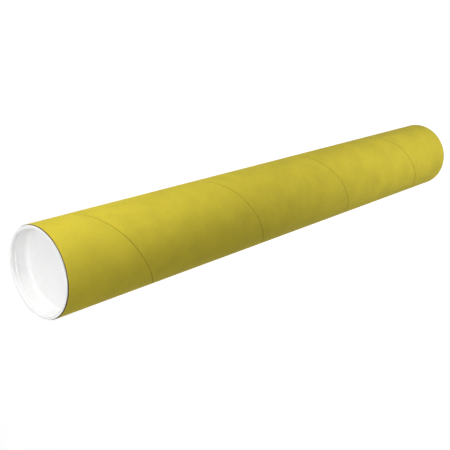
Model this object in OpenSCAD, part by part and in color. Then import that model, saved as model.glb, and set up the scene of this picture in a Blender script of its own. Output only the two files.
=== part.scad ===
// Mailing tube: a spiral-wound board tube with a push-in plug cap in each end.
// It stands on its lower cap. The origin is on the tube's axis, on the lower cap's outer face,
// and +Z runs up the tube.

/* [Tube] */
// Inside diameter of the tube
bore_d = 76.2; // [40:0.1:160]
// Thickness of the wound board wall
wall = 2; // [1.5:0.1:6]
// Length of the tube between its cut ends
tube_length = 609.6; // [150:0.1:1000]

/* [Seam of the outer ply] */
// Distance along the tube that the seam climbs in one turn
seam_climb = 151; // [80:0.1:300]
// Gap between the ply's two edges along the seam
seam_gap = 0.45; // [0.2:0.05:2]
// Thickness of the outer ply, which is the depth of the seam
ply_thickness = 0.3; // [0.1:0.05:0.7]
// Angle round the tube at which the seam meets the lower cut end
seam_start = 60; // [0:1:359]

/* [Plug caps] */
// Thickness of the lip that covers the tube's cut end
lip_thickness = 0.7; // [0.7:0.05:2]
// Distance that the lip's edge stands in from the tube's outside
lip_inset = 0.6; // [0:0.05:0.9]
// Rounding of the lip's two outer edges
lip_round = 0.35; // [0.1:0.05:0.35]
// Height of the shoulder that holds the lip off the cut end
shoulder_height = 0.7; // [0.3:0.05:2]
// Depth of the plug inside the tube
plug_depth = 15; // [10:0.1:50]
// Length of the band below the shoulder that grips the bore
band_length = 3.4; // [1:0.1:6]
// Clearance between the band and the bore, on the radius
band_clearance = 0.05; // [0.02:0.01:0.3]
// Step in from the band to the plug's narrower lead, on the radius
lead_step = 0.5; // [0.1:0.05:1.5]
// Draft of the lead's side, in degrees
lead_draft = 1; // [0:0.1:3]
// Thickness of the plug's side wall
plug_wall = 1.2; // [0.6:0.1:2.5]
// Thickness of the plug's floor
floor_thickness = 1.3; // [0.6:0.1:3]
// Rounding inside the recess, between its side and its floor
floor_round = 3; // [0.5:0.1:4]
// Rounding of the recess's mouth
mouth_round = 0.6; // [0.1:0.05:1]
// Depth of the bead round the recess's side, from the cut end to the bead's middle
bead_depth = 3.1; // [2.2:0.1:5]
// Width of the bead, along the tube
bead_width = 1.7; // [0.8:0.1:3]
// Height of the bead above the recess's side below it
bead_height = 0.4; // [0.1:0.05:1]
// Depth of the sunk panel in the recess's floor
panel_depth = 0.25; // [0.1:0.05:0.5]
// Distance from the panel's edge to the rounding round the floor
panel_inset = 0.4; // [0.1:0.1:10]
// Diameter of the moulding gate's stub under the floor
gate_d = 3; // [1:0.1:6]
// Height of the moulding gate's stub
gate_height = 0.4; // [0.1:0.05:1]

/* [Hidden] */

$fn = 96;
full_turn = 360;
half_turn = 180;
right_angle = 90;
// Cutters run past the solid that they cut by this much
overrun = 1;

// Tube
bore_r = bore_d / 2;
tube_r = bore_r + wall;
tube_foot_z = shoulder_height + lip_thickness;
tube_head_z = tube_foot_z + tube_length;

// Seam
seam_step_angle = 6;
seam_floor_r = tube_r - ply_thickness;
seam_rise_angle = atan(seam_climb / (PI * 2 * tube_r));
seam_height = seam_gap / cos(seam_rise_angle);
seam_lap_angle = full_turn * (seam_height + overrun) / seam_climb;
seam_sweep_angle = full_turn * tube_length / seam_climb + 2 * seam_lap_angle;
seam_steps = ceil(seam_sweep_angle / seam_step_angle);

// Cap, with its heights taken from the shoulder's seat on the cut end
arc_steps = 6;
shoulder_share = 0.5;
lip_r = tube_r - lip_inset;
lip_top_z = shoulder_height + lip_thickness;
shoulder_r = bore_r + (lip_r - lip_round - bore_r) * shoulder_share;
band_r = bore_r - band_clearance;
lead_r = band_r - lead_step;
lead_top_z = -band_length - lead_step;
lead_round = floor_round + plug_wall;
lead_end_z = lead_round - plug_depth;
recess_r = band_r - plug_wall;
floor_z = floor_thickness - plug_depth;
recess_end_z = floor_z + floor_round;
gate_r = gate_d / 2;
gate_end_z = -plug_depth - gate_height;

// Radius of the lead's drafted side at a height
function lead_side_r(z) = lead_r - (lead_top_z - z) * tan(lead_draft);

// The bead's half width, and the radii of the recess's side below it and of its crest
bead_half = bead_width / 2;
recess_side_r = lead_side_r(-bead_depth - bead_half) - plug_wall;
bead_r = recess_side_r - bead_height;

// Radius of the recess's floor inside its rounding, and of the panel sunk into it
floor_r = lead_side_r(recess_end_z) - plug_wall - floor_round;
panel_r = floor_r - panel_inset;

// Points on an oval about a centre, from one angle to another, and the same on a circle
function oval(centre, reach, from, to) =
    [for (i = [0:arc_steps]) let (a = from + (to - from) * i / arc_steps)
        centre + [reach[0] * cos(a), reach[1] * sin(a)]];
function arc(centre, radius, from, to) = oval(centre, [radius, radius], from, to);

// The seam's section, as each corner's radius and side of the seam's middle
seam_section = [
    [seam_floor_r, -1],
    [tube_r + overrun, -1],
    [tube_r + overrun, 1],
    [seam_floor_r, 1]
];
seam_corners = len(seam_section);

// The section's corners where the seam has turned through an angle from the lower cut end
function seam_ring(turn) =
    let (a = seam_start + turn, z = seam_climb * turn / full_turn)
    [for (corner = seam_section)
        [corner[0] * cos(a), corner[0] * sin(a), z + corner[1] * seam_height / 2]];

module seam_cutter() {
    points = [for (i = [0:seam_steps])
        each seam_ring(seam_sweep_angle * i / seam_steps - seam_lap_angle)];
    sides = [for (i = [0:seam_steps - 1], j = [0:seam_corners - 1])
        let (a = i * seam_corners + j, b = i * seam_corners + (j + 1) % seam_corners)
        each [[a, b, b + seam_corners], [a, b + seam_corners, a + seam_corners]]];
    last = seam_steps * seam_corners;
    ends = [
        [for (j = [0:seam_corners - 1]) seam_corners - 1 - j],
        [for (j = [0:seam_corners - 1]) last + j]
    ];
    polyhedron(points, concat(sides, ends));
}

module tube() {
    color("#cfbd3a")
    translate([0, 0, tube_foot_z])
    difference() {
        cylinder(h = tube_length, r = tube_r);
        translate([0, 0, -overrun]) cylinder(h = tube_length + 2 * overrun, r = bore_r);
        seam_cutter();
    }
}

// Half the cap's section, from the gate's stub out round the lip and back down the recess
module cap_section() {
    polygon(concat(
        [[0, gate_end_z], [gate_r, gate_end_z], [gate_r, -plug_depth]],
        arc([lead_side_r(lead_end_z) - lead_round, lead_end_z], lead_round, -right_angle, 0),
        [[lead_r, lead_top_z], [band_r, -band_length], [band_r, 0]],
        [[shoulder_r, 0], [shoulder_r, shoulder_height]],
        arc([lip_r - lip_round, shoulder_height + lip_round], lip_round, -right_angle, 0),
        arc([lip_r - lip_round, lip_top_z - lip_round], lip_round, 0, right_angle),
        arc([recess_r + mouth_round, lip_top_z - mouth_round], mouth_round, right_angle, half_turn),
        oval([recess_r, -bead_depth], [recess_r - bead_r, bead_half], right_angle, half_turn),
        oval([recess_side_r, -bead_depth], [bead_height, bead_half], half_turn, half_turn + right_angle),
        arc([floor_r, recess_end_z], floor_round, 0, -right_angle),
        [[panel_r, floor_z], [panel_r - panel_depth, floor_z - panel_depth], [0, floor_z - panel_depth]]
    ));
}

module cap() {
    rotate_extrude() cap_section();
}

module top_cap() {
    color("#f4f3ef")
    translate([0, 0, tube_head_z])
    cap();
}

module bottom_cap() {
    color("#f4f3ef")
    translate([0, 0, tube_foot_z])
    mirror([0, 0, 1])
    cap();
}

tube();
top_cap();
bottom_cap();
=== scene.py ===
import bpy
import bmesh
import math
from mathutils import Matrix, Vector


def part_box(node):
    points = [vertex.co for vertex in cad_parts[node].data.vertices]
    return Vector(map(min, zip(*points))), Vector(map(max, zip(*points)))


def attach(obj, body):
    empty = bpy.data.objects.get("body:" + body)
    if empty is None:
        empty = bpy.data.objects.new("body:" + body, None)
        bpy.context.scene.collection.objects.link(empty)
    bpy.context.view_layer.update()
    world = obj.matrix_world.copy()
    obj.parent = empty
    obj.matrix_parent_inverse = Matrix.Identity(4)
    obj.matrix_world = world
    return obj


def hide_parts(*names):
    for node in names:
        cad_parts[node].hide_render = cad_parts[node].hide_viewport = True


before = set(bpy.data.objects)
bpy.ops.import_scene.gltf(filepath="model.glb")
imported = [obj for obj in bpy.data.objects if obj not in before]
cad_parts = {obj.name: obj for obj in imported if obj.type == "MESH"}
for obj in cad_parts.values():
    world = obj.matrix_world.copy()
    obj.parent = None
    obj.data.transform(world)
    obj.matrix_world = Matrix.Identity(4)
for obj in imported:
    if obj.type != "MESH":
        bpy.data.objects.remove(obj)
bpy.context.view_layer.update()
mm = 0.001
print("frame loaded:", ", ".join(sorted(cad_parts)))


# small helpers for nodes, meshes and aiming

def put(tree, kind, inputs=None, **props):
    # new node, with its sockets either set or linked
    node = tree.nodes.new(kind)
    for key, value in props.items():
        setattr(node, key, value)
    for key, value in (inputs or {}).items():
        if isinstance(value, bpy.types.NodeSocket):
            tree.links.new(value, node.inputs[key])
        else:
            node.inputs[key].default_value = value
    return node


def calc(tree, operation, *values, clamp=False):
    # what a Math node makes of sockets or numbers
    inputs = dict(enumerate(values))
    return put(tree, "ShaderNodeMath", inputs, operation=operation, use_clamp=clamp).outputs[0]


def remap(tree, value, fromRange, toRange=(0.0, 1.0)):
    inputs = {"Value": value, "From Min": fromRange[0], "From Max": fromRange[1],
              "To Min": toRange[0], "To Max": toRange[1]}
    return put(tree, "ShaderNodeMapRange", inputs).outputs["Result"]


def noise(tree, place, scale, detail, roughness=0.5, wander=0.0):
    inputs = {"Vector": place, "Scale": scale, "Detail": detail,
              "Roughness": roughness, "Distortion": wander}
    return put(tree, "ShaderNodeTexNoise", inputs).outputs["Fac"]


def blendColour(tree, mask, first, second):
    # mask 0 shows the first colour, mask 1 the second; a colour mix takes them at 0, 6 and 7
    return put(tree, "ShaderNodeMix", {0: mask, 6: first, 7: second}, data_type="RGBA").outputs[2]


def bumpFrom(tree, height, cfg):
    inputs = {"Strength": cfg["bump"], "Distance": cfg["bumpDepth"], "Height": height}
    return put(tree, "ShaderNodeBump", inputs).outputs["Normal"]


def newMaterial(name):
    mat = bpy.data.materials.new(name)
    mat.use_nodes = True
    mat.node_tree.nodes.clear()
    return mat, mat.node_tree


def shadeWith(tree, inputs):
    # Principled shader with its sockets set or linked, wired to the output
    shader = put(tree, "ShaderNodeBsdfPrincipled", inputs)
    put(tree, "ShaderNodeOutputMaterial", {"Surface": shader.outputs["BSDF"]})


def newGroup(name, inputs, outputs):
    # sockets are given as titles with their kinds
    group = bpy.data.node_groups.new(name, "ShaderNodeTree")
    for way, sockets in (("INPUT", inputs), ("OUTPUT", outputs)):
        for title, kind in sockets.items():
            group.interface.new_socket(title, in_out=way, socket_type="NodeSocket" + kind)
    given = group.nodes.new("NodeGroupInput")
    made = group.nodes.new("NodeGroupOutput")
    return group, given.outputs, made.inputs


def addPiece(name, bm, materials, sharpAngle=30.0):
    mesh = bpy.data.meshes.new(name)
    bm.to_mesh(mesh)
    bm.free()
    mesh.shade_smooth()
    mesh.set_sharp_from_angle(angle=math.radians(sharpAngle))
    for mat in materials:
        mesh.materials.append(mat)
    piece = bpy.data.objects.new(name, mesh)
    bpy.context.scene.collection.objects.link(piece)
    return piece


def facing(place, aim):
    # turn that points a camera or a lamp at a spot
    return (Vector(aim) - Vector(place)).to_track_quat("-Z", "Y")


# camera: it looks down on the standing tube, rolled so that the tube lies across the frame

cameraSet = {
    "place": (0.0, -0.5549, 0.9454),
    "aim": (-0.01032, 0.0, 0.39238),
    "roll": -108.11,           # degrees about the line of sight
    "lens": 62.43,
    "sensor": 36.0,
    "clipStart": 0.01,
}


def setCamera(cfg):
    lens = bpy.data.cameras.new("photoCamera")
    lens.lens = cfg["lens"]
    lens.sensor_width = cfg["sensor"]
    lens.clip_start = cfg["clipStart"]
    cam = bpy.data.objects.new("photoCamera", lens)
    turn = facing(cfg["place"], cfg["aim"]).to_matrix().to_4x4()
    roll = Matrix.Rotation(math.radians(cfg["roll"]), 4, "Z")
    cam.matrix_world = Matrix.Translation(cfg["place"]) @ turn @ roll
    bpy.context.scene.collection.objects.link(cam)
    bpy.context.scene.camera = cam


setCamera(cameraSet)
print("camera set")


# looks that more than one finish uses

grainSet = {
    "cloudDetail": 5.0,
    "cloudRoughness": 0.62,
    "cloudHeight": 0.5,              # how far the clouds lift the fibres
    "fibreDraw": (0.22, 1.0, 1.0),   # draws the fibres out along the strip
    "fibreDetail": 4.0,
    "fibreRoughness": 0.7,
    "fibreWander": 0.6,
    "fleckDetail": 1.0,
    "fleckWander": 1.5,
    "fleckContrast": 14.0,
}

handlingSet = {
    "patchDetail": 3.0,
    "patchWander": 0.8,
    "patchRange": (0.5, 0.72),
    "scratchTurn": (0.4, 0.9, 0.6),  # slant of the scratches, in radians
    "scratchDraw": (0.06, 1.0, 1.0),
    "scratchDetail": 1.0,
    "scratchWander": 0.3,
    "scratchRange": (0.7, 0.76),
}


def makePaperGrain(cfg):
    # pressed fibre: broad cloudy patches, short fibres along the strip, and darker flecks
    group, given, made = newGroup(
        "paperGrain",
        {"Place": "Vector", "Cloud Scale": "Float", "Fibre Scale": "Float",
         "Fleck Level": "Float"},
        {"Cloud": "Float", "Fibre": "Float", "Fleck": "Float", "Height": "Float"})
    cloud = noise(group, given["Place"], given["Cloud Scale"],
                  cfg["cloudDetail"], cfg["cloudRoughness"])
    drawn = put(group, "ShaderNodeMapping", {"Vector": given["Place"], "Scale": cfg["fibreDraw"]})
    drawnOut = drawn.outputs["Vector"]
    fibre = noise(group, drawnOut, given["Fibre Scale"],
                  cfg["fibreDetail"], cfg["fibreRoughness"], cfg["fibreWander"])
    speck = noise(group, drawnOut, given["Fibre Scale"],
                  cfg["fleckDetail"], wander=cfg["fleckWander"])
    above = calc(group, "SUBTRACT", speck, given["Fleck Level"])
    fleck = calc(group, "MULTIPLY", above, cfg["fleckContrast"], clamp=True)
    height = calc(group, "MULTIPLY_ADD", cloud, cfg["cloudHeight"], fibre)
    for title, socket in (("Cloud", cloud), ("Fibre", fibre),
                          ("Fleck", fleck), ("Height", height)):
        group.links.new(socket, made[title])
    return group


def makeHandling(cfg):
    # soft rubbed patches, and fine scratches within them
    group, given, made = newGroup(
        "handlingMarks",
        {"Place": "Vector", "Patch Scale": "Float", "Scratch Scale": "Float"},
        {"Rub": "Float", "Scratch": "Float"})
    patch = noise(group, given["Place"], given["Patch Scale"],
                  cfg["patchDetail"], wander=cfg["patchWander"])
    rub = remap(group, patch, cfg["patchRange"])
    slant = put(group, "ShaderNodeMapping", {
        "Vector": given["Place"], "Rotation": cfg["scratchTurn"], "Scale": cfg["scratchDraw"]})
    lines = noise(group, slant.outputs["Vector"], given["Scratch Scale"],
                  cfg["scratchDetail"], wander=cfg["scratchWander"])
    scratch = calc(group, "MULTIPLY", remap(group, lines, cfg["scratchRange"]), rub)
    group.links.new(rub, made["Rub"])
    group.links.new(scratch, made["Scratch"])
    return group


paperGrain = makePaperGrain(grainSet)
handlingMarks = makeHandling(handlingSet)
wholeRange = (0.0, 1.0)


def grainIn(tree, place, cfg):
    inputs = {"Place": place, "Cloud Scale": cfg["cloudScale"],
              "Fibre Scale": cfg["fibreScale"], "Fleck Level": cfg["fleckLevel"]}
    return put(tree, "ShaderNodeGroup", inputs, node_tree=paperGrain).outputs


def marksIn(tree, place, cfg):
    inputs = {"Place": place, "Patch Scale": cfg["patchScale"],
              "Scratch Scale": cfg["scratchScale"]}
    return put(tree, "ShaderNodeGroup", inputs, node_tree=handlingMarks).outputs


print("shared looks made")


# tube: board wound from strips, the outer strip's edges leaving one seam that climbs round it

tubeSet = {
    "wall": 2.0 * mm,
    "pitch": 151.0 * mm,       # climb of the seam in one turn
    # each strip's thickness, the gap at its seam, and the seam's angle at the lower cut end
    "outer": {"ply": 0.3 * mm, "gap": 0.45 * mm, "start": 60.0},
    "liner": {"ply": 0.25 * mm, "gap": 0.5 * mm, "start": 205.0},
    "edgeRound": 0.08 * mm,    # softened edges of a strip
    "edgeBend": 0.3,           # share of the rounding at its middle
    "edgeFlat": 5,             # flat beside the edge ends this many roundings away
    "rimRound": 0.2 * mm,      # crushed outer corner of the cut ends
    "rimCrush": 0.4,           # how far the corner goes in, as a share of its height
    "rimSteps": (0.25, 0.55, 1.0),
    "columns": 144,            # per turn
    "spareColumns": 2,         # past each end, before the cut
    "rows": 22,                # across a strip
    "weld": 0.001 * mm,
    "sharpAngle": 40.0,
}

yellowSet = {
    "yellow": (0.67, 0.553, 0.044, 1.0),
    "deepYellow": (0.565, 0.464, 0.036, 1.0),
    "paleFibre": (0.75, 0.645, 0.105, 1.0),
    "fleck": (0.42, 0.34, 0.035, 1.0),
    "cloudScale": 42.0,
    "cloudRange": (0.35, 0.68),
    "cloudShare": 0.75,
    "fibreScale": 1100.0,
    "fibreRange": (0.52, 0.8),
    "fibreShare": 0.45,
    "fleckLevel": 0.67,
    "fleckShare": 0.35,
    "patchScale": 18.0,
    "scratchScale": 260.0,
    "heightRange": (0.5, 1.1),
    "roughness": (0.84, 0.66),  # from the hollows to the lumps
    "rubRoughness": -0.08,      # added where hands rub it
    "ior": 1.45,
    "specular": 0.2,            # uncoated paper
    "bump": 0.12,
    "bumpDepth": 0.2 * mm,
}

# strip below, seen down the seam: its own dark colour, darkened further as painted shade of the
# narrow gap
seamSet = {
    "underPlyAndShade": (0.22, 0.15, 0.012, 1.0),
    "paleUnderPlyAndShade": (0.33, 0.24, 0.018, 1.0),
    "cloudScale": 60.0,
    "fibreScale": 1300.0,
    "fibreRange": (0.3, 0.7),
    "fleckLevel": 0.62,
    "roughness": (0.85, 0.95),
    "specular": 0.2,
}

linerSet = {
    "kraft": (0.30, 0.21, 0.12, 1.0),
    "paleKraft": (0.44, 0.33, 0.20, 1.0),
    "greyFleck": (0.14, 0.10, 0.07, 1.0),
    "cloudScale": 34.0,
    "cloudRange": (0.3, 0.7),
    "fibreScale": 800.0,
    "fibreRange": (0.3, 0.7),
    "fleckLevel": 0.6,
    "fleckShare": 0.5,
    "roughness": (0.8, 0.94),
    "bump": 0.2,
    "bumpDepth": 0.2 * mm,
}

# cut end's board: its colour, darkened as painted shade of the gap under the cap's lip
sawnSet = {
    "sawnAndShade": (0.15, 0.10, 0.055, 1.0),
    "paleSawnAndShade": (0.25, 0.18, 0.11, 1.0),
    "glue": (0.07, 0.045, 0.03, 1.0),
    "plies": 7,
    "plyMiddle": 0.5,
    "glueRange": (0.36, 0.48),  # from a ply's middle, in plies
    "glueHeight": -0.6,
    "cloudScale": 120.0,
    "fibreScale": 2200.0,
    "fibreRange": (0.3, 0.7),
    "fleckLevel": 0.58,
    "fleckShare": 0.4,
    "roughness": (0.86, 0.96),
    "specular": 0.1,
    "bump": 0.5,
    "bumpDepth": 0.15 * mm,
}


def woundPlace(tree):
    # distance along a strip and across it
    return put(tree, "ShaderNodeAttribute", attribute_name="windCoord").outputs["Vector"]


def yellowPly(cfg):
    mat, tree = newMaterial("yellowPly")
    wound = woundPlace(tree)
    grain = grainIn(tree, wound, cfg)
    marks = marksIn(tree, wound, cfg)
    cloudy = remap(tree, grain["Cloud"], cfg["cloudRange"], (0.0, cfg["cloudShare"]))
    colour = blendColour(tree, cloudy, cfg["yellow"], cfg["deepYellow"])
    fibres = remap(tree, grain["Fibre"], cfg["fibreRange"], (0.0, cfg["fibreShare"]))
    colour = blendColour(tree, fibres, colour, cfg["paleFibre"])
    flecks = remap(tree, grain["Fleck"], wholeRange, (0.0, cfg["fleckShare"]))
    colour = blendColour(tree, flecks, colour, cfg["fleck"])
    rough = remap(tree, grain["Height"], cfg["heightRange"], cfg["roughness"])
    rubbed = calc(tree, "MULTIPLY_ADD", marks["Rub"], cfg["rubRoughness"], rough)
    shadeWith(tree, {"Base Color": colour, "Roughness": rubbed,
                     "Normal": bumpFrom(tree, grain["Height"], cfg),
                     "IOR": cfg["ior"], "Specular IOR Level": cfg["specular"]})
    return mat


def seamBoardAndShade(cfg):
    mat, tree = newMaterial("seamBoardAndShade")
    grain = grainIn(tree, woundPlace(tree), cfg)
    # under ply's colour, darkened further as painted shade down the narrow seam
    colour = blendColour(tree, grain["Cloud"], cfg["underPlyAndShade"], cfg["paleUnderPlyAndShade"])
    rough = remap(tree, grain["Fibre"], cfg["fibreRange"], cfg["roughness"])
    shadeWith(tree, {"Base Color": colour, "Roughness": rough,
                     "Specular IOR Level": cfg["specular"]})
    return mat


def linerPly(cfg):
    mat, tree = newMaterial("linerPly")
    grain = grainIn(tree, woundPlace(tree), cfg)
    cloudy = remap(tree, grain["Cloud"], cfg["cloudRange"])
    colour = blendColour(tree, cloudy, cfg["kraft"], cfg["paleKraft"])
    flecks = remap(tree, grain["Fleck"], wholeRange, (0.0, cfg["fleckShare"]))
    colour = blendColour(tree, flecks, colour, cfg["greyFleck"])
    rough = remap(tree, grain["Fibre"], cfg["fibreRange"], cfg["roughness"])
    shadeWith(tree, {"Base Color": colour, "Roughness": rough,
                     "Normal": bumpFrom(tree, grain["Height"], cfg)})
    return mat


def sawnBoardAndShade(cfg, boreR, wall):
    # cut end: plies as fine rings, with torn fibre across them; the board's colour is darkened as
    # painted shade of the gap under the cap's lip
    mat, tree = newMaterial("sawnBoardAndShade")
    place = put(tree, "ShaderNodeTexCoord").outputs["Object"]
    level = put(tree, "ShaderNodeVectorMath", {0: place, 1: (1.0, 1.0, 0.0)}, operation="MULTIPLY")
    reach = put(tree, "ShaderNodeVectorMath", {0: level.outputs["Vector"]}, operation="LENGTH")
    layer = remap(tree, reach.outputs["Value"], (boreR, boreR + wall), (0.0, cfg["plies"]))
    offMiddle = calc(tree, "SUBTRACT", calc(tree, "FRACT", layer), cfg["plyMiddle"])
    glueLine = remap(tree, calc(tree, "ABSOLUTE", offMiddle), cfg["glueRange"])
    grain = grainIn(tree, place, cfg)
    colour = blendColour(tree, grain["Cloud"], cfg["sawnAndShade"], cfg["paleSawnAndShade"])
    colour = blendColour(tree, glueLine, colour, cfg["glue"])
    flecks = remap(tree, grain["Fleck"], wholeRange, (0.0, cfg["fleckShare"]))
    colour = blendColour(tree, flecks, colour, cfg["glue"])
    torn = calc(tree, "MULTIPLY_ADD", glueLine, cfg["glueHeight"], grain["Height"])
    rough = remap(tree, grain["Fibre"], cfg["fibreRange"], cfg["roughness"])
    shadeWith(tree, {"Base Color": colour, "Roughness": rough,
                     "Normal": bumpFrom(tree, torn, cfg), "Specular IOR Level": cfg["specular"]})
    return mat


def windSheet(bm, cfg, strip, radius, footZ, headZ, faceSlot, seamSlot, outward):
    # one turn after another of a strip as wide as the pitch, with its seam sunk by its thickness
    coord = bm.verts.layers.float_vector.get("windCoord")
    pitch, perTurn, spare = cfg["pitch"], cfg["columns"], cfg["spareColumns"]
    soft, bend = cfg["edgeRound"], cfg["edgeBend"]
    slope = math.atan(pitch / (2 * math.pi * radius))
    half = 0.5 * strip["gap"] / math.cos(slope)
    sunk = radius - strip["ply"] if outward else radius + strip["ply"]
    lean = soft if outward else -soft
    lower = [(0.0, sunk), (half, sunk), (half, radius - lean),
             (half + bend * soft, radius - bend * lean),
             (half + soft, radius), (half + cfg["edgeFlat"] * soft, radius)]
    upper = [(pitch - z, r) for z, r in reversed(lower)]
    first, last = lower[-1][0], upper[0][0]
    middle = [(first + (last - first) * i / cfg["rows"], radius) for i in range(1, cfg["rows"])]
    section = lower + middle + upper
    sunkRows = {0, 1, len(section) - 2, len(section) - 3}   # seam's floor and the strip's edges
    lastColumn = math.ceil((headZ - footZ) / pitch * perTurn) + spare
    columns = []
    for i in range(-perTurn - spare, lastColumn + 1):
        turn = math.radians(i * 360.0 / perTurn)
        angle = math.radians(strip["start"]) + turn
        column = []
        for dz, r in section:
            height = footZ + pitch * i / perTurn + dz
            vert = bm.verts.new((r * math.cos(angle), r * math.sin(angle), height))
            along = radius * turn / math.cos(slope) + dz * math.sin(slope)
            vert[coord] = (along, dz * math.cos(slope), 0.0)
            column.append(vert)
        columns.append(column)
    for left, right in zip(columns, columns[1:]):
        for j in range(len(section) - 1):
            corners = (left[j], right[j], right[j + 1], left[j + 1])
            face = bm.faces.new(corners if outward else corners[::-1])
            # the seam's floor and the strip's edges take the dark seam colour, with its painted
            # shade
            face.material_index = seamSlot if j in sunkRows else faceSlot


def cutAt(bm, z, keepAbove=None):
    # slices the mesh at a height, and drops one side when keepAbove says which to keep
    everything = bm.verts[:] + bm.edges[:] + bm.faces[:]
    bmesh.ops.bisect_plane(bm, geom=everything, dist=1e-7,
                           plane_co=(0, 0, z), plane_no=(0, 0, 1),
                           clear_inner=keepAbove is True, clear_outer=keepAbove is False)


def closeEnd(bm, z, slot, near):
    # joins the outer and the inner edge of a cut end
    rim = [edge for edge in bm.edges
           if edge.is_boundary and all(abs(vert.co.z - z) < near for vert in edge.verts)]
    for face in bmesh.ops.bridge_loops(bm, edges=rim)["faces"]:
        face.material_index = slot


def makeTube(cfg):
    low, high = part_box("tube")
    outerR, footZ, headZ = high.x, low.z, high.z
    boreR = outerR - cfg["wall"]
    faceSlot, seamSlot, linerSlot, sawnSlot = range(4)
    bm = bmesh.new()
    bm.verts.layers.float_vector.new("windCoord")
    windSheet(bm, cfg, cfg["outer"], outerR, footZ, headZ, faceSlot, seamSlot, True)
    windSheet(bm, cfg, cfg["liner"], boreR, footZ, headZ, linerSlot, seamSlot, False)
    bmesh.ops.remove_doubles(bm, verts=bm.verts[:], dist=cfg["weld"])
    cutAt(bm, footZ, keepAbove=True)
    cutAt(bm, headZ, keepAbove=False)
    for share in cfg["rimSteps"]:
        cutAt(bm, footZ + share * cfg["rimRound"])
        cutAt(bm, headZ - share * cfg["rimRound"])
    closeEnd(bm, footZ, sawnSlot, cfg["weld"])
    closeEnd(bm, headZ, sawnSlot, cfg["weld"])
    # the outer corner of each cut end is pressed in a little
    for vert in bm.verts:
        nearEnd = 1.0 - min(vert.co.z - footZ, headZ - vert.co.z) / cfg["rimRound"]
        reach = vert.co.xy.length
        if nearEnd > 0 and reach > boreR + 0.5 * cfg["wall"]:
            inward = 1.0 - cfg["rimCrush"] * cfg["rimRound"] * nearEnd ** 2 / reach
            vert.co.x *= inward
            vert.co.y *= inward
    bmesh.ops.recalc_face_normals(bm, faces=bm.faces[:])
    finishes = [yellowPly(yellowSet), seamBoardAndShade(seamSet), linerPly(linerSet),
                sawnBoardAndShade(sawnSet, boreR, cfg["wall"])]
    piece = addPiece("woundTube", bm, finishes, cfg["sharpAngle"])
    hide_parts("tube")
    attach(piece, "tube")
    return piece


tube = makeTube(tubeSet)
print("tube wound:", len(tube.data.polygons), "faces")


# plug caps: white mouldings, each turned from one outline

capSet = {
    "lip": 0.7 * mm,           # thickness of the lip over the cut end
    "lipRound": 0.35 * mm,
    "shoulder": 0.7 * mm,      # holds the lip off the cut end
    "shoulderShare": 0.5,      # of the lip's overlap on the wall
    "plugDepth": 15.0 * mm,
    "bandGap": 0.05 * mm,      # band to bore
    "bandLength": 3.4 * mm,
    "leadStep": 0.5 * mm,
    "leadDraft": 1.0,          # degrees
    "plugWall": 1.2 * mm,
    "floor": 1.3 * mm,
    "floorRound": 3.0 * mm,
    "mouthRound": 0.6 * mm,
    "beadDepth": 3.1 * mm,     # bead round the recess's side, below the cut end
    "beadWidth": 1.7 * mm,
    "beadHeight": 0.4 * mm,
    "panelDepth": 0.25 * mm,   # sunk panel in the floor
    "panelInset": 0.4 * mm,
    "panelRings": (0.75, 0.5, 0.25),
    "gateR": 1.5 * mm,
    "gateHeight": 0.4 * mm,
    "segments": 192,
    "arcSteps": 8,
    "weld": 0.0001 * mm,
    "sharpAngle": 35.0,
}

plasticSet = {
    "white": (0.86, 0.86, 0.855, 1.0),
    "milky": (0.80, 0.80, 0.79, 1.0),
    "flowScale": 55.0,         # cloudy streaks left by the moulding
    "flowDetail": 3.0,
    "flowWander": 1.2,
    "flowRange": (0.4, 0.7),
    "flowShare": 0.5,
    "skinScale": 2600.0,       # fine texture of the mould
    "skinDetail": 2.0,
    "patchScale": 40.0,
    "scratchScale": 700.0,
    "scratchHeight": -0.8,
    "roughness": (0.5, 0.64),  # clean, and where hands rub it
    "ior": 1.5,
    "specular": 0.25,
    "scatter": 0.12,
    "scatterRadius": (4.0 * mm, 4.0 * mm, 3.5 * mm),
    "scatterScale": 1.0,
    "bump": 0.05,
    "bumpDepth": 0.1 * mm,
}


def whitePlastic(cfg):
    mat, tree = newMaterial("whitePlastic")
    place = put(tree, "ShaderNodeTexCoord").outputs["Object"]
    flow = noise(tree, place, cfg["flowScale"], cfg["flowDetail"], wander=cfg["flowWander"])
    haze = remap(tree, flow, cfg["flowRange"], (0.0, cfg["flowShare"]))
    colour = blendColour(tree, haze, cfg["white"], cfg["milky"])
    marks = marksIn(tree, place, cfg)
    rough = remap(tree, marks["Rub"], wholeRange, cfg["roughness"])
    fine = noise(tree, place, cfg["skinScale"], cfg["skinDetail"])
    skin = calc(tree, "MULTIPLY_ADD", marks["Scratch"], cfg["scratchHeight"], fine)
    shadeWith(tree, {"Base Color": colour, "Roughness": rough,
                     "Normal": bumpFrom(tree, skin, cfg),
                     "IOR": cfg["ior"], "Specular IOR Level": cfg["specular"],
                     "Subsurface Weight": cfg["scatter"],
                     "Subsurface Radius": cfg["scatterRadius"],
                     "Subsurface Scale": cfg["scatterScale"]})
    return mat


def ovalPoints(centre, reach, fromAngle, toAngle, steps):
    # angles in degrees
    angles = [math.radians(fromAngle + (toAngle - fromAngle) * i / steps)
              for i in range(steps + 1)]
    return [(centre[0] + reach[0] * math.cos(a), centre[1] + reach[1] * math.sin(a))
            for a in angles]


def arcPoints(centre, radius, fromAngle, toAngle, steps):
    return ovalPoints(centre, (radius, radius), fromAngle, toAngle, steps)


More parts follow.
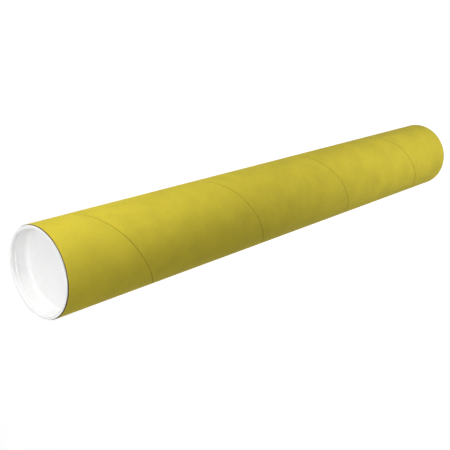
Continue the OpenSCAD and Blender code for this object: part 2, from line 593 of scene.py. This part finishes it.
def capOutline(cfg, lipR, boreR):
    # radius and height from the cut end, from the gate out round the lip and down the recess
    steps, edge, mouth = cfg["arcSteps"], cfg["lipRound"], cfg["mouthRound"]
    depth, wall, corner = cfg["plugDepth"], cfg["plugWall"], cfg["floorRound"]
    bandR = boreR - cfg["bandGap"]
    leadR = bandR - cfg["leadStep"]
    leadTop = -cfg["bandLength"] - cfg["leadStep"]

    def sideR(z):
        return leadR - (leadTop - z) * math.tan(math.radians(cfg["leadDraft"]))

    # gate's stub, rounded lower edge, drafted lead and band
    leadRound = corner + wall
    leadEnd = leadRound - depth
    gateEnd = -depth - cfg["gateHeight"]
    outline = [(0.0, gateEnd), (cfg["gateR"], gateEnd), (cfg["gateR"], -depth)]
    outline += arcPoints((sideR(leadEnd) - leadRound, leadEnd), leadRound, -90, 0, steps)
    outline += [(leadR, leadTop), (bandR, -cfg["bandLength"]), (bandR, 0.0)]

    # shoulder, lip and the recess's mouth
    recessR = bandR - wall
    lipTop = cfg["shoulder"] + cfg["lip"]
    shoulderR = boreR + (lipR - edge - boreR) * cfg["shoulderShare"]
    outline += [(shoulderR, 0.0), (shoulderR, cfg["shoulder"])]
    outline += arcPoints((lipR - edge, cfg["shoulder"] + edge), edge, -90, 0, steps)
    outline += arcPoints((lipR - edge, lipTop - edge), edge, 0, 90, steps)
    outline += arcPoints((recessR + mouth, lipTop - mouth), mouth, 90, 180, steps)

    # bead round the recess's side
    beadZ, beadHalf, beadHeight = -cfg["beadDepth"], cfg["beadWidth"] / 2, cfg["beadHeight"]
    wallR = sideR(beadZ - beadHalf) - wall
    beadR = wallR - beadHeight
    outline += ovalPoints((recessR, beadZ), (recessR - beadR, beadHalf), 90, 180, steps)
    outline += ovalPoints((wallR, beadZ), (beadHeight, beadHalf), 180, 270, steps)[1:]

    # rounding, floor and sunk panel
    floorZ = cfg["floor"] - depth
    floorEnd = floorZ + corner
    floorFlat = sideR(floorEnd) - wall - corner
    panelR = floorFlat - cfg["panelInset"]
    panelZ = floorZ - cfg["panelDepth"]
    outline += arcPoints((floorFlat, floorEnd), corner, 0, -90, steps)
    outline += [(panelR, floorZ), (panelR - cfg["panelDepth"], panelZ)]
    outline += [(panelR * share, panelZ) for share in cfg["panelRings"]] + [(0.0, panelZ)]
    return outline


def turnOutline(bm, outline, seatZ, up, segments):
    # lathe about Z; up is 1 for a cap that opens upwards and -1 for one that opens downwards
    angles = [2 * math.pi * i / segments for i in range(segments)]
    rings = []
    for r, z in outline:
        height = seatZ + up * z
        if r == 0.0:
            rings.append([bm.verts.new((0.0, 0.0, height))])
        else:
            rings.append([bm.verts.new((r * math.cos(a), r * math.sin(a), height))
                          for a in angles])
    for inner, outer in zip(rings, rings[1:]):
        for i in range(segments):
            j = (i + 1) % segments
            corners = [inner[i % len(inner)], inner[j % len(inner)],
                       outer[j % len(outer)], outer[i % len(outer)]]
            bm.faces.new(list(dict.fromkeys(corners)))   # three corners beside the axis


def makeCap(name, node, up, cfg, plastic):
    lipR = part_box(node)[1].x
    tubeLow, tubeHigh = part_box("tube")
    seatZ = tubeHigh.z if up > 0 else tubeLow.z
    boreR = tubeHigh.x - tubeSet["wall"]
    bm = bmesh.new()
    turnOutline(bm, capOutline(cfg, lipR, boreR), seatZ, up, cfg["segments"])
    bmesh.ops.remove_doubles(bm, verts=bm.verts[:], dist=cfg["weld"])
    bmesh.ops.recalc_face_normals(bm, faces=bm.faces[:])
    piece = addPiece(name, bm, [plastic], cfg["sharpAngle"])
    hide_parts(node)
    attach(piece, node)
    return piece


plastic = whitePlastic(plasticSet)
for name, node, up in (("topPlugCap", "top_cap", 1), ("bottomPlugCap", "bottom_cap", -1)):
    cap = makeCap(name, node, up, capSet, plastic)
    print("cap turned:", name, len(cap.data.polygons), "faces")


# floor and studio light

white = (1.0, 1.0, 1.0, 1.0)

floorSet = {
    "half": 6.0,
    "drop": 0.115,        # clear of the lower cap when it is pulled out
    "grey": 0.88,
    "lift": 0.965,        # plain white of the seen floor
    "shadowShare": 0.3,   # what it adds of the light that falls on it
}

# each lamp faces a height on the tube's axis, and its spread is in degrees
lampSet = {
    "key": {"place": (0.55, -0.2, 0.78), "aimZ": 0.6,        # tube's bright side, near end
            "size": 0.3, "spread": 180.0, "watts": 1.94},
    "side": {"place": (0.4, -0.4, 0.5), "aimZ": 0.5,         # tube's bright side, middle
             "size": 0.25, "spread": 110.0, "watts": 0.3},
    "foot": {"place": (0.0, -0.59, 0.13), "aimZ": 0.04,      # far end
             "size": 0.3, "spread": 75.0, "watts": 0.43},
    "fill": {"place": (-1.36, -0.24, 1.49), "aimZ": 0.33,    # tube's shaded side
             "size": 1.0, "spread": 180.0, "watts": 5.7},
    "over": {"place": (-0.3, 0.1, 1.35), "aimZ": 0.61,       # these four light the upper cap
             "size": 0.8, "spread": 180.0, "watts": 1.8},
    "high": {"place": (0.5, -0.29, 1.42), "aimZ": 0.605,
             "size": 0.35, "spread": 180.0, "watts": 2.39},
    "left": {"place": (0.32, 0.56, 1.37), "aimZ": 0.605,
             "size": 0.35, "spread": 180.0, "watts": 0.97},
    "recess": {"place": (0.0, -0.7, 1.2), "aimZ": 0.62,
               "size": 0.3, "spread": 40.0, "watts": 0.22},
    "back": {"place": (-0.3, 1.08, 0.45), "aimZ": 0.3,       # for views from behind
             "size": 0.8, "spread": 120.0, "watts": 3.8},
}
worldLevel = 0.01


def seenDirectly(tree):
    # 1 for what the camera, a reflection or a clear piece shows
    path = put(tree, "ShaderNodeLightPath").outputs
    seen = calc(tree, "MAXIMUM", path["Is Camera Ray"], path["Is Glossy Ray"])
    return calc(tree, "MAXIMUM", seen, path["Is Transmission Ray"])


def mixShaders(tree, mask, first, second):
    # mask 0 shows the first shader, mask 1 the second
    inputs = {0: mask, 1: first.outputs[0], 2: second.outputs[0]}
    return put(tree, "ShaderNodeMixShader", inputs)


def makeFloor(cfg):
    bm = bmesh.new()
    half, grey, faintGrey = cfg["half"], cfg["grey"], cfg["grey"] * cfg["shadowShare"]
    bm.faces.new([bm.verts.new((x * half, y * half, -cfg["drop"]))
                  for x, y in ((-1, -1), (1, -1), (1, 1), (-1, 1))])
    mat, tree = newMaterial("paleFloor")
    matt = put(tree, "ShaderNodeBsdfDiffuse", {"Color": (grey, grey, grey, 1.0)})
    faint = put(tree, "ShaderNodeBsdfDiffuse", {"Color": (faintGrey, faintGrey, faintGrey, 1.0)})
    glow = put(tree, "ShaderNodeEmission", {"Color": white, "Strength": cfg["lift"]})
    lit = put(tree, "ShaderNodeAddShader", {0: faint.outputs[0], 1: glow.outputs[0]})
    fromAbove = mixShaders(tree, seenDirectly(tree), matt, lit)
    # open from below, so that the lower end can be looked at
    under = put(tree, "ShaderNodeNewGeometry").outputs["Backfacing"]
    oneWay = mixShaders(tree, under, fromAbove, put(tree, "ShaderNodeBsdfTransparent"))
    put(tree, "ShaderNodeOutputMaterial", {"Surface": oneWay.outputs[0]})
    addPiece("paleFloor", bm, [mat])


def makeLamps(lamps):
    for name, cfg in lamps.items():
        lamp = bpy.data.lights.new(name + "Lamp", "AREA")
        lamp.size = cfg["size"]
        lamp.spread = math.radians(cfg["spread"])
        lamp.energy = cfg["watts"]
        holder = bpy.data.objects.new(name + "Lamp", lamp)
        holder.location = cfg["place"]
        holder.rotation_euler = facing(cfg["place"], (0.0, 0.0, cfg["aimZ"])).to_euler()
        holder.visible_camera = False
        bpy.context.scene.collection.objects.link(holder)


def makeWorld(level):
    # faint light all round, and plain white where it is seen
    world = bpy.data.worlds.new("studio")
    world.use_nodes = True
    tree = world.node_tree
    tree.nodes.clear()
    around = put(tree, "ShaderNodeBackground", {"Color": white, "Strength": level})
    seen = put(tree, "ShaderNodeBackground", {"Color": white, "Strength": 1.0})
    mix = mixShaders(tree, seenDirectly(tree), around, seen)
    put(tree, "ShaderNodeOutputWorld", {"Surface": mix.outputs[0]})
    bpy.context.scene.world = world


makeFloor(floorSet)
makeLamps(lampSet)
makeWorld(worldLevel)
bpy.context.scene.view_settings.view_transform = "Standard"
print("floor and lights set")
